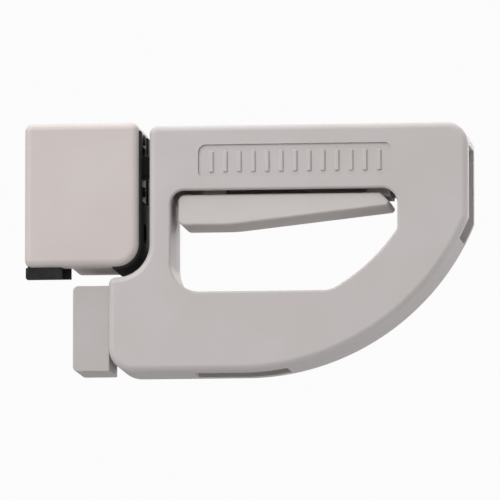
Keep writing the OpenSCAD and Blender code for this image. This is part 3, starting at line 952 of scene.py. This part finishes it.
@dataclass
class Handle(Assembly):
    """The handle: two shells round the finger opening, the foot block and what they hold."""

    swing_gap: float = 4.0 * MM
    catch_corner_r: float = 8.7 * MM
    foot_r: float = 9.5 * MM
    top_r: float = 8.0 * MM
    small_r: float = 3.0 * MM
    lip_r: float = 2.6 * MM
    sweep_r: float = 94.0 * MM
    sweep_reach: float = 86.7 * MM
    wall: float = 2.5 * MM
    top_bar_h: float = 24.75 * MM
    bottom_bar_h: float = 30.3 * MM
    left_bar_w: float = 8.2 * MM
    right_bar_w: float = 26.7 * MM
    sweep_band: float = 21.6 * MM
    open_radii: tuple[float, float, float, float] = (5.0 * MM, 11.0 * MM, 10.0 * MM, 6.0 * MM)
    rim: float = 2.4 * MM
    opening_rim: float = 0.9 * MM
    seam: float = 0.35 * MM
    panel_depth: float = 0.7 * MM
    panel_h: float = 13.0 * MM
    panel_r: float = 3.0 * MM
    panel_ends: Point = (10.5 * MM, 2.0 * MM)
    panel_down: float = 1.6 * MM
    ridges: int = 13
    ridge_margin: float = 5.0 * MM
    ridge_half_w: float = 0.8 * MM
    ridge_sunk: float = 0.08 * MM
    ridge_root: float = 0.3 * MM
    ridge_rim: float = 0.35 * MM
    rail_deep: float = 22.5 * MM
    rail_down: float = 26.0 * MM
    rail_half: Point = (17.75 * MM, 9.75 * MM)
    slat_deep: float = 15.0 * MM
    slat_in: float = 49.6 * MM
    slat_half: Point = (17.75 * MM, 7.75 * MM)
    wood_hole_r: float = 2.0 * MM
    wood_half_pitch: float = 9.0 * MM
    window_half: Point = (5.25 * MM, 4.25 * MM)
    slot_ends: Point = (2.0 * MM, 5.7 * MM)
    block_rim: float = 1.2 * MM
    wire_r: float = 0.25 * MM
    coils: int = 10
    block_radii: tuple[float, float, float, float] = (2.0 * MM, 0.4 * MM, 0.4 * MM, 2.0 * MM)
    screw: PanScrew = PanScrew(1.5 * MM, 3.0 * MM, 2.2 * MM, 22.0 * MM)

    def __post_init__(self) -> None:
        """Works out the places that several pieces share."""
        low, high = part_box("handle_front")
        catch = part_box("catch_body")[1]
        self.low, self.high = low, high
        self.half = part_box("handle_rear")[1].y
        self.left = catch.x + self.swing_gap
        self.notch_z = -catch.z - self.swing_gap
        self.sweep = (high.x - self.sweep_reach, low.z + self.sweep_r)
        self.open_left = self.left + self.left_bar_w
        self.open_right = high.x - self.right_bar_w
        self.open_top = high.z - self.top_bar_h
        self.open_bottom = low.z + self.bottom_bar_h
        self.open_r = self.sweep_r - self.sweep_band
        self.hollow = self.half - self.wall
        self.bolt_z = middle("bolt")[2]
        self.rail_z = high.z - self.rail_down
        self.slat_x = low.x + self.slat_in

    def outline(self) -> Outline:
        """Outline of both shells."""
        low, high = self.low, self.high
        cx, cz = self.sweep
        meet = cz - math.sqrt(self.sweep_r**2 - (high.x - cx) ** 2)
        return [
            Corner(low.x, low.z, self.foot_r),
            Corner(cx, low.z),
            Sweep(cx, cz, high.x, meet),
            Corner(high.x, high.z, self.top_r),
            Corner(self.left, high.z, self.small_r),
            Corner(self.left, self.notch_z, self.catch_corner_r + self.swing_gap),
            Corner(low.x, self.notch_z, self.lip_r),
        ]

    def opening(self) -> Outline:
        """Outline of the finger opening."""
        top_left, bottom_left, bottom_right, top_right = self.open_radii
        cx, cz = self.sweep
        fz = self.open_bottom + bottom_right
        fx = cx + math.sqrt((self.open_r - bottom_right) ** 2 - (cz - fz) ** 2)
        reach = self.open_r / (self.open_r - bottom_right)
        meet = cz - math.sqrt(self.open_r**2 - (self.open_right - cx) ** 2)
        return [
            Corner(self.open_left, self.open_top, top_left),
            Corner(self.open_left, self.open_bottom, bottom_left),
            Corner(fx, self.open_bottom),
            Sweep(fx, fz, cx + (fx - cx) * reach, cz + (fz - cz) * reach),
            Sweep(cx, cz, self.open_right, meet),
            Corner(self.open_right, self.open_top, top_right),
        ]

    def in_opening(self, place: Vector) -> bool:
        """Says whether a place on a rim belongs to the finger opening and not to the outer edge."""
        inside_x = self.open_left - NEAR < place.x < self.open_right + NEAR
        inside_z = self.open_bottom - NEAR < place.z < self.open_top + NEAR
        from_sweep = math.dist((place.x, place.z), self.sweep)
        return inside_x and inside_z and from_sweep < self.open_r + NEAR

    def shell(self, name: str, outer: float) -> Piece:
        """Makes one shell with rounded rims, its hollow, its sockets and its windows.

        Args:
            name: Name of the shell.
            outer: Y of its outer face; the other face lies in the middle of the depth.

        Returns:
            The shell.
        """
        shell = Bench.prism(name, self.outline(), outer, 0.0)
        Bench.bevel(shell, rim_at(outer), self.rim, 6)
        Bench.apply(shell, Bench.prism("opening", self.opening(), -self.half - PAST, self.half + PAST))
        Bench.bevel(shell, rim_at(outer, self.in_opening), self.opening_rim, 5)
        Bench.bevel(shell, rim_at(0.0), self.seam, 2)
        for y in (outer, 0.0):
            Bench.reface(shell, y)
        for cutter in self.spaces():
            Bench.apply(shell, cutter)
        return shell

    def spaces(self) -> Iterable[Piece]:
        """Cutters for what both shells leave free, one after the other."""
        grip_end, (slot_left, slot_right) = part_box("trigger")[0].x, self.slot_ends
        slot_low = self.open_top - max(self.open_radii[0], self.open_radii[3])
        rail_x, (rail_h, rail_t) = self.high.x - self.rail_deep, self.rail_half
        slat_w, slat_t = self.slat_half
        window_y, window_z = self.window_half
        blocks = {
            "hollow": (
                (self.left + self.wall, -self.hollow, self.open_top + self.wall),
                (rail_x - self.wall, self.hollow, self.high.z - self.wall),
            ),
            "trigger_slot": (
                (grip_end - slot_left, -self.hollow, slot_low),
                (middle("trigger_pin")[0] + slot_right, self.hollow, self.open_top + self.wall + NEAR),
            ),
            "bolt_window": (
                (self.left - PAST, -window_y, self.bolt_z - window_z),
                (self.left + self.wall + PAST, window_y, self.bolt_z + window_z),
            ),
            "rail_socket": (
                (rail_x, -rail_t, self.rail_z - rail_h),
                (self.high.x + PAST, rail_t, self.rail_z + rail_h),
            ),
            "slat_socket": (
                (self.slat_x - slat_w, -slat_t, self.low.z - PAST),
                (self.slat_x + slat_w, slat_t, self.low.z + self.slat_deep),
            ),
        }
        for name, (low, high) in blocks.items():
            yield Bench.box(name, low, high)

    def panel(self, shell: Piece) -> None:
        """Sinks the blank panel into the top bar's front and sets its row of ridges."""
        x0, x1 = self.open_left + self.panel_ends[0], self.open_right - self.panel_ends[1]
        z = (self.high.z + self.open_top) / 2 - self.panel_down
        front = self.low.y
        recess = rectangle((x0, z - self.panel_h / 2), (x1, z + self.panel_h / 2), (self.panel_r,) * 4)
        Bench.apply(shell, Bench.prism("recess", recess, front - PAST, front + self.panel_depth))
        pitch = (x1 - x0 - 2 * self.ridge_margin) / (self.ridges - 1)
        x, half_h = x0 + self.ridge_margin, (self.panel_h - self.ridge_margin) / 2
        first = Bench.box(
            "ridge",
            (x - self.ridge_half_w, front + self.ridge_sunk, z - half_h),
            (x + self.ridge_half_w, front + self.panel_depth + self.ridge_root, z + half_h),
        )
        Bench.bevel(first, sharp_edges, self.ridge_rim, 3)
        bars = [first] + [
            duplicate(first, f"ridge_{i}", (pitch * i, 0.0, 0.0)) for i in range(1, self.ridges)
        ]
        Bench.apply(shell, Bench.join("ridges", bars), Cut.JOIN)

    def front(self) -> None:
        """The front shell."""
        shell = self.shell("handle_front_shell", -self.half)
        self.panel(shell)
        self.add(Bench.finish(shell), Finish.HANDLE, "handle_plastic", "handle_front")

    def rear(self) -> None:
        """The rear shell, with the seats of its screws and the holes for the wood screws."""
        shell = self.shell("handle_rear_shell", self.half)
        self.counterbores(shell, self.half, self.screw_places())
        for x, z in self.wood_holes():
            place = (x, self.half / 2, z)
            Bench.apply(shell, Bench.rod("wood_hole", Axis.Y, place, self.wood_hole_r, self.half + 2 * PAST))
        Bench.reface(shell, self.half)
        self.add(Bench.finish(shell), Finish.HANDLE, "handle_plastic", "handle_rear")

    def screw_places(self) -> list[Point]:
        """X and Z of the six shell screws."""
        middle_r = self.sweep_r - self.sweep_band / 2
        cx, cz = self.sweep
        angle = math.radians(50)
        stem_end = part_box("bolt")[1].x
        return [
            (self.low.x + 9 * MM, self.open_bottom - 4.6 * MM),
            (self.low.x + 19 * MM, self.low.z + 12.7 * MM),
            (self.low.x + 78.85 * MM, (self.open_bottom + self.low.z) / 2 + 2.5 * MM),
            (cx + middle_r * math.cos(angle), cz - middle_r * math.sin(angle)),
            (self.high.x - 30.2 * MM, self.high.z - 7.7 * MM),
            (stem_end + 10.05 * MM, self.high.z - 6.5 * MM),
        ]

    def wood_holes(self) -> list[Point]:
        """X and Z of the four holes for the gate's wood screws."""
        rail_x = self.high.x - self.rail_deep / 2
        slat_z = self.low.z + self.slat_deep / 2
        sides = (-self.wood_half_pitch, self.wood_half_pitch)
        in_rail = [(rail_x, self.rail_z + side) for side in sides]
        return in_rail + [(self.slat_x + side, slat_z) for side in sides]

    def screws(self) -> None:
        """The six shell screws."""
        seat = self.half - BORE_DEPTH
        seats = [(x, seat, z) for x, z in self.screw_places()]
        self.row(self.screw, "shell_screw", Axis.Y, seats, Finish.ZINC, "zinc_steel", "shell_screws")

    def foot_block(self) -> None:
        """The set-back block beside the rail, in a darker copy of the handle's plastic as painted shade."""
        low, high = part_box("guide_block")
        block = Bench.slab("foot_block", (low, high), self.block_radii)
        Bench.bevel(block, lambda e: rim_at(low.y)(e) or rim_at(high.y)(e), self.block_rim, 4)
        self.add(Bench.finish(block), Finish.BLOCK, "block_plastic", "guide_block")

    def spring(self) -> None:
        """The bolt's compression spring, as one smooth coil."""
        low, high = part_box("bolt_spring")
        wire, coils, sides, steps = self.wire_r, self.coils, 12, 28
        radius = (high.y - low.y) / 2 - wire
        Bench.clear()
        start = (low.x + wire, 0.0, self.bolt_z)
        upright = (math.pi / 2, 0, 0)
        bpy.ops.mesh.primitive_circle_add(vertices=sides, radius=wire, location=start, rotation=upright)
        spring = bpy.context.active_object
        bpy.ops.object.transform_apply(location=False, rotation=True, scale=True)
        with Bench.editing(spring):
            bpy.ops.transform.translate(value=(0.0, 0.0, radius))
        wind = spring.modifiers.new("wind", "SCREW")
        wind.axis = "X"
        wind.iterations = coils
        wind.steps = wind.render_steps = steps
        wind.screw_offset = (high.x - low.x - 2 * wire) / coils
        wind.use_merge_vertices = False
        bpy.ops.object.modifier_apply(modifier=wind.name)
        spring = Bench.named("bolt_spring_coil")
        with Bench.editing(spring):
            bpy.ops.mesh.fill_holes(sides=0)
        Bench.finish(spring, 60.0)
        self.add(spring, Finish.WIRE, "spring_steel", "bolt_spring")
        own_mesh(spring)

    def build(self) -> None:
        """Builds the whole handle."""
        self.front()
        self.rear()
        self.screws()
        self.foot_block()
        self.spring()
        for node, finish in (
            ("block_screws", Finish.ZINC),
            ("bolt_guide", Finish.GUIDE),
            ("guide_screws", Finish.ZINC),
            ("trigger_pin", Finish.GROUND),
            ("spring_washer", Finish.ZINC),
        ):
            self.keep(node, finish)


@dataclass
class Trigger(Assembly):
    """The squeeze trigger: grip, cheeks with cam slots and the pivot boss."""

    level: float = 20.0 * MM
    grip_h: float = 11.7 * MM
    tip_h: float = 4.8 * MM
    rim: float = 0.9 * MM
    cheek_in: float = 5.5 * MM
    cheek_t: float = 3.0 * MM
    cam_angle: float = math.radians(44)
    cam_length: float = 8.7 * MM
    slot_r: float = 2.3 * MM
    boss_r: float = 5.18 * MM
    end_r: float = 2.4 * MM
    belly_r: float = 60.0 * MM
    tip_radii: Point = (1.4 * MM, 1.5 * MM)
    tip_slant: float = 5.0 * MM
    slot_wall: float = 2.0 * MM
    leg_ends: Point = (2.0 * MM, 11.0 * MM)
    leg_down: float = 3.2 * MM
    root: float = 1.0 * MM
    web_in: float = 1.5 * MM

    def capsule(self, start: Point, radius: float) -> list[Corner]:
        """Outline of a round-ended slot along the cam."""
        along = Vector((math.cos(self.cam_angle), -math.sin(self.cam_angle)))
        side = Vector((-along.y, along.x))
        first = Vector(start) - along * radius
        last = Vector(start) + along * (self.cam_length + radius)
        places = [first - side * radius, last - side * radius, last + side * radius, first + side * radius]
        return [Corner(p.x, p.y, radius * 0.999) for p in places]

    def build(self) -> None:
        """Builds the trigger in one piece and finishes its bushes."""
        low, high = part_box("trigger")
        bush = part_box("trigger_bushes")
        pivot_x, _, pivot_z = middle("trigger_bushes")
        pin_x, _, pin_z = middle("bolt_pin")
        top = low.z + self.grip_h
        path = [
            Corner(low.x, low.z, self.end_r),
            Corner(low.x + self.level, low.z, self.belly_r),
            Corner(high.x, top - self.tip_h, self.tip_radii[0]),
            Corner(high.x - self.tip_slant, top, self.tip_radii[1]),
            Corner(low.x, top, self.end_r),
        ]
        grip = Bench.prism("trigger_grip", path, low.y, high.y)
        for y in (low.y, high.y):
            Bench.bevel(grip, rim_at(y), self.rim, 5)
        for side in (-1, 1):
            near, far = sorted((side * self.cheek_in, side * (self.cheek_in + self.cheek_t)))
            outer = self.capsule((pin_x, pin_z), self.slot_r + self.slot_wall)
            inner = self.capsule((pin_x, pin_z), self.slot_r)
            cheek = Bench.prism("cheek", outer, near, far)
            leg_low = (pin_x + self.leg_ends[0], near, top - self.root)
            leg = Bench.box("leg", leg_low, (pin_x + self.leg_ends[1], far, pin_z - self.leg_down))
            Bench.apply(cheek, leg, Cut.JOIN)
            Bench.apply(cheek, Bench.prism("cam_slot", inner, near - PAST, far + PAST))
            Bench.apply(grip, cheek, Cut.JOIN)
        width = bush[1].y - bush[0].y
        pivot = (pivot_x, 0.0, pivot_z)
        boss = Bench.rod("boss", Axis.Y, pivot, self.boss_r, width)
        web_low = (pivot_x - self.boss_r, -width / 2, top - self.root)
        web = Bench.box("web", web_low, (pivot_x + self.boss_r - self.web_in, width / 2, pivot_z))
        Bench.apply(boss, web, Cut.JOIN)
        bush_r = (bush[1].x - bush[0].x) / 2
        Bench.apply(boss, Bench.rod("bore", Axis.Y, pivot, bush_r, width + 2 * PAST))
        Bench.apply(grip, boss, Cut.JOIN)
        self.add(Bench.finish(grip), Finish.TRIGGER, "trigger_plastic", "trigger")
        self.keep("trigger_bushes", Finish.BUSH)


@dataclass
class Bolt(Assembly):
    """The spring bolt with its cross pin and clips."""

    nose: float = 3.0 * MM
    edge: float = 0.4 * MM
    stem_edge: float = 0.5 * MM
    stem_r: float = 2.2 * MM
    tail: float = 13.0 * MM

    def build(self) -> None:
        """Builds the bolt and finishes its pin and clips."""
        low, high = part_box("bolt")
        pin_x = middle("bolt_pin")[0]
        axis_z = middle("bolt")[2]
        bolt = Bench.box("bolt_bar", low, (pin_x + self.tail, high.y, high.z))
        Bench.bevel(
            bolt,
            lambda e: sharp_edges(e) and all(abs(v.co.x - low.x) < NEAR for v in e.verts)
            and abs(e.verts[0].co.y - e.verts[1].co.y) < NEAR,
            self.nose,
            1,
        )
        Bench.bevel(bolt, lambda e: e.calc_face_angle(0.0) > math.radians(30), self.edge, 3)
        stem_from = pin_x + self.tail - PAST
        centre = ((stem_from + high.x) / 2, 0.0, axis_z)
        stem = Bench.rod("stem", Axis.X, centre, self.stem_r, high.x - stem_from)
        Bench.bevel(stem, lambda e: sharp_edges(e) and e.verts[0].co.x > high.x - NEAR, self.stem_edge, 3)
        Bench.apply(bolt, stem, Cut.JOIN)
        # painted shade: the bolt is near black so that the swing gap reads as deep shade
        self.add(Bench.finish(bolt), Finish.BLACKED, "black_steel", "bolt")
        self.keep("bolt_pin", Finish.GROUND)
        for node in ("pin_clips", "stop_clip"):
            self.keep(node, Finish.WIRE)


@dataclass(frozen=True)
class Lamp:
    """A soft square lamp, placed from the middle of the latch and aimed at it."""

    name: str
    place: Triple
    size: float
    power: float


@dataclass
class Studio:
    """Pale floor, soft light and the camera."""

    distance: float = 3.5
    azimuth: float = 6.5
    elevation: float = -6.5
    width: float = 0.19
    floor_z: float = -2.6
    floor_size: float = 5.0
    world_seen: float = 0.97
    world_light: float = 0.62
    sky_heights: Point = (-0.5, 0.7)
    sky_shares: Point = (0.2, 1.2)
    sensor: float = 36.0
    lamps: tuple[Lamp, ...] = (
        Lamp("key", (-1.3, -1.9, 1.2), 1.6, 40.0),
        Lamp("top", (-0.2, 0.1, 2.0), 1.8, 18.0),
        Lamp("back", (0.9, 1.8, 1.0), 1.6, 16.0),
        Lamp("side", (2.2, 0.3, -0.5), 1.4, 15.0),
    )

    def floor(self) -> None:
        """A plain pale floor, well below the latch."""
        Bench.clear()
        bpy.ops.mesh.primitive_plane_add(size=self.floor_size, location=(0, 0, self.floor_z))
        floor = Bench.named("floor")
        nodes = Nodes("pale_floor")
        nodes.set(nodes.shader, Base_Color=(0.86, 0.86, 0.86, 1.0), Roughness=0.9)
        floor.data.materials.append(nodes.material)
        floor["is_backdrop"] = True

    def world(self) -> None:
        """An even white surround, brighter from above than from below."""
        world = bpy.data.worlds.new("white_room")
        bpy.context.scene.world = world
        world.use_nodes = True
        tree = world.node_tree
        tree.nodes.clear()
        kinds = ("OutputWorld", "Background", "Background", "MixShader", "LightPath")
        out, seen, lit, mix, path = (tree.nodes.new("ShaderNode" + kind) for kind in kinds)
        kinds = ("TexCoord", "SeparateXYZ", "MapRange", "Math")
        where, split, ramp, scale = (tree.nodes.new("ShaderNode" + kind) for kind in kinds)
        limits = zip(("From Min", "From Max", "To Min", "To Max"), self.sky_heights + self.sky_shares)
        for name, value in limits:
            ramp.inputs[name].default_value = value
        scale.operation = "MULTIPLY"
        scale.inputs[1].default_value = self.world_light
        seen.inputs["Strength"].default_value = self.world_seen
        seen.inputs["Color"].default_value = lit.inputs["Color"].default_value = (1, 1, 1, 1)
        link = tree.links.new
        link(where.outputs["Generated"], split.inputs[0])
        link(split.outputs["Z"], ramp.inputs["Value"])
        link(ramp.outputs["Result"], scale.inputs[0])
        link(scale.outputs[0], lit.inputs["Strength"])
        link(path.outputs["Is Camera Ray"], mix.inputs[0])
        link(lit.outputs[0], mix.inputs[1])
        link(seen.outputs[0], mix.inputs[2])
        link(mix.outputs[0], out.inputs["Surface"])

    def light(self, lamp: Lamp, aim: Vector) -> None:
        """Sets up one lamp, aimed at a point."""
        place = aim + Vector(lamp.place)
        bpy.ops.object.light_add(type="AREA", location=place)
        made = bpy.context.active_object
        made.name = lamp.name
        made.data.size = lamp.size
        made.data.energy = lamp.power
        made.rotation_euler = (aim - place).to_track_quat("-Z", "Y").to_euler()

    def camera(self, aim: Vector) -> None:
        """The camera, a little to the right of the latch and below it."""
        a, e = math.radians(self.azimuth), math.radians(self.elevation)
        back = Vector((math.sin(a) * math.cos(e), -math.cos(a) * math.cos(e), math.sin(e)))
        bpy.ops.object.camera_add(location=aim + back * self.distance)
        camera = bpy.context.active_object
        camera.name = "camera"
        camera.rotation_euler = (-back).to_track_quat("-Z", "Y").to_euler()
        camera.data.sensor_width = self.sensor
        camera.data.lens = self.sensor * self.distance / self.width
        camera.data.clip_end = 100.0
        bpy.context.scene.camera = camera

    def build(self, low: Vector, high: Vector) -> None:
        """Sets the studio round the latch."""
        aim = (low + high) / 2
        self.floor()
        self.world()
        for lamp in self.lamps:
            self.light(lamp, aim)
        self.camera(aim)
        bpy.context.scene.view_settings.view_transform = "Standard"


def main() -> None:
    """Builds the latch and its studio."""
    logging.basicConfig(level=logging.INFO, format="%(name)s: %(message)s")
    cad_low, cad_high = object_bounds()
    paint = Paintbox()
    Catch("catch", paint).build()
    Handle("handle", paint).build()
    Trigger("trigger", paint).build()
    Bolt("bolt", paint).build()
    Studio().build(cad_low, cad_high)
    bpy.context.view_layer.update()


if __name__ == "__main__":
    main()
